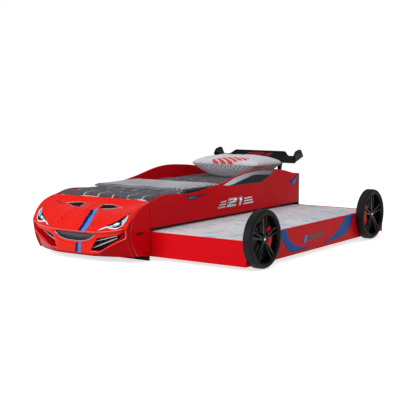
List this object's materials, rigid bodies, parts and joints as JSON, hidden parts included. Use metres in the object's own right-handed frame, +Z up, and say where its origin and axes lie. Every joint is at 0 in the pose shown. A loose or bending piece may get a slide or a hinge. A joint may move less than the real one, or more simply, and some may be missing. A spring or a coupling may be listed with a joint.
{
  "type": "children's car bed with trundle",
  "caption": "Child's bed shaped like a racing car, with moulded hood, wheel covers, spoiler and a rolling pull-out trundle bed.",
  "frame": {"origin": "on the floor, at the middle of the box that the bed stands in with its trundle pulled out", "axes": "+Z up, +Y along the bed towards its head end and spoiler, so the hood points to -Y, and +X to the side where the trundle comes out"},
  "size_m": [1.7296, 2.367, 0.635],
  "materials": {
    "hood_paint": "glossy red",
    "panel_paint": "glossy red painted board",
    "black_board": "satin black painted board",
    "black_edge": "satin black",
    "black_mesh": "matt black",
    "clear_lens": "clear",
    "lamp_housing": "glossy silver grey",
    "slat_wood": "sanded pine",
    "mattress_cloth": "woven",
    "quilt_cloth": "quilted",
    "blanket_cloth": "soft woven",
    "pillow_cloth": "woven",
    "spoiler_black": "glossy black",
    "tyre_grey": "satin dark grey",
    "rim_black": "glossy black",
    "caliper_red": "glossy red",
    "hub_silver": "polished",
    "zinc_steel": "zinc plated",
    "caster_black": "satin black"
  },
  "bodies": {
    "bed": {"near_side_panel": "panel_paint", "far_side_panel": "panel_paint", "near_bottom_trim": "black_edge", "near_fender_panel": "panel_paint", "far_fender_panel": "panel_paint", "front_bulkhead": "black_board", "rear_board": "black_board", "panel_screws": "zinc_steel", "corner_brackets": "zinc_steel", "front_plinth": "black_board", "far_plinth": "black_board", "front_shell": "hood_paint", "grille_mesh": "black_mesh", "near_headlight_lens": "clear_lens", "far_headlight_lens": "clear_lens", "near_headlight_housing": "lamp_housing", "far_headlight_housing": "lamp_housing", "near_fog_intake": "black_mesh", "far_fog_intake": "black_mesh", "fog_bars": "black_mesh", "hood_vent_grilles": "black_mesh", "near_slat_rail": "slat_wood", "far_slat_rail": "slat_wood", "cross_rails": "slat_wood", "bed_slats": "slat_wood", "bed_mattress": "mattress_cloth", "quilt": "quilt_cloth", "blanket": "blanket_cloth", "pillow": "pillow_cloth", "spoiler_wing": "spoiler_black", "spoiler_end_plates": "spoiler_black", "spoiler_struts": "spoiler_black", "far_front_tyre": "tyre_grey", "far_front_rim": "rim_black", "far_front_caliper": "caliper_red", "far_rear_tyre": "tyre_grey", "far_rear_rim": "rim_black", "far_rear_caliper": "caliper_red", "far_hub_caps": "hub_silver"},
    "trundle": {"trundle_side_panel": "panel_paint", "trundle_front_panel": "panel_paint", "trundle_rear_panel": "panel_paint", "trundle_inner_rail": "slat_wood", "trundle_ledges": "slat_wood", "trundle_bearers": "slat_wood", "trundle_slats": "slat_wood", "trundle_mattress": "mattress_cloth", "caster_forks": "zinc_steel", "caster_axles": "zinc_steel", "near_front_tyre": "tyre_grey", "near_front_rim": "rim_black", "near_front_caliper": "caliper_red", "near_rear_tyre": "tyre_grey", "near_rear_rim": "rim_black", "near_rear_caliper": "caliper_red", "near_hub_caps": "hub_silver"},
    "caster_wheel_inner_front_body": {"caster_wheel_inner_front": "caster_black"},
    "caster_wheel_inner_rear_body": {"caster_wheel_inner_rear": "caster_black"},
    "caster_wheel_outer_front_body": {"caster_wheel_outer_front": "caster_black"},
    "caster_wheel_outer_rear_body": {"caster_wheel_outer_rear": "caster_black"}
  },
  "joints": [
    {"name": "trundle_slide", "type": "slide", "parent": "bed", "child": "trundle", "axis": [1, 0, 0], "range_m": [-0.738, 0.2]},
    {"name": "caster_roll_inner_front", "type": "hinge", "parent": "trundle", "child": "caster_wheel_inner_front_body", "pos_m": [0.02925, -0.6125, 0.024], "axis": [0, 1, 0], "range_deg": [-1765, 480]},
    {"name": "caster_roll_inner_rear", "type": "hinge", "parent": "trundle", "child": "caster_wheel_inner_rear_body", "pos_m": [0.02925, 0.7755, 0.024], "axis": [0, 1, 0], "range_deg": [-1765, 480]},
    {"name": "caster_roll_outer_front", "type": "hinge", "parent": "trundle", "child": "caster_wheel_outer_front_body", "pos_m": [0.71675, -0.6125, 0.024], "axis": [0, 1, 0], "range_deg": [-1765, 480]},
    {"name": "caster_roll_outer_rear", "type": "hinge", "parent": "trundle", "child": "caster_wheel_outer_rear_body", "pos_m": [0.71675, 0.7755, 0.024], "axis": [0, 1, 0], "range_deg": [-1765, 480]}
  ],
  "couplings": [
    {"joint": "caster_roll_inner_front", "follows": "trundle_slide", "rad_per_m": 41.667},
    {"joint": "caster_roll_inner_rear", "follows": "trundle_slide", "rad_per_m": 41.667},
    {"joint": "caster_roll_outer_front", "follows": "trundle_slide", "rad_per_m": 41.667},
    {"joint": "caster_roll_outer_rear", "follows": "trundle_slide", "rad_per_m": 41.667}
  ]
}
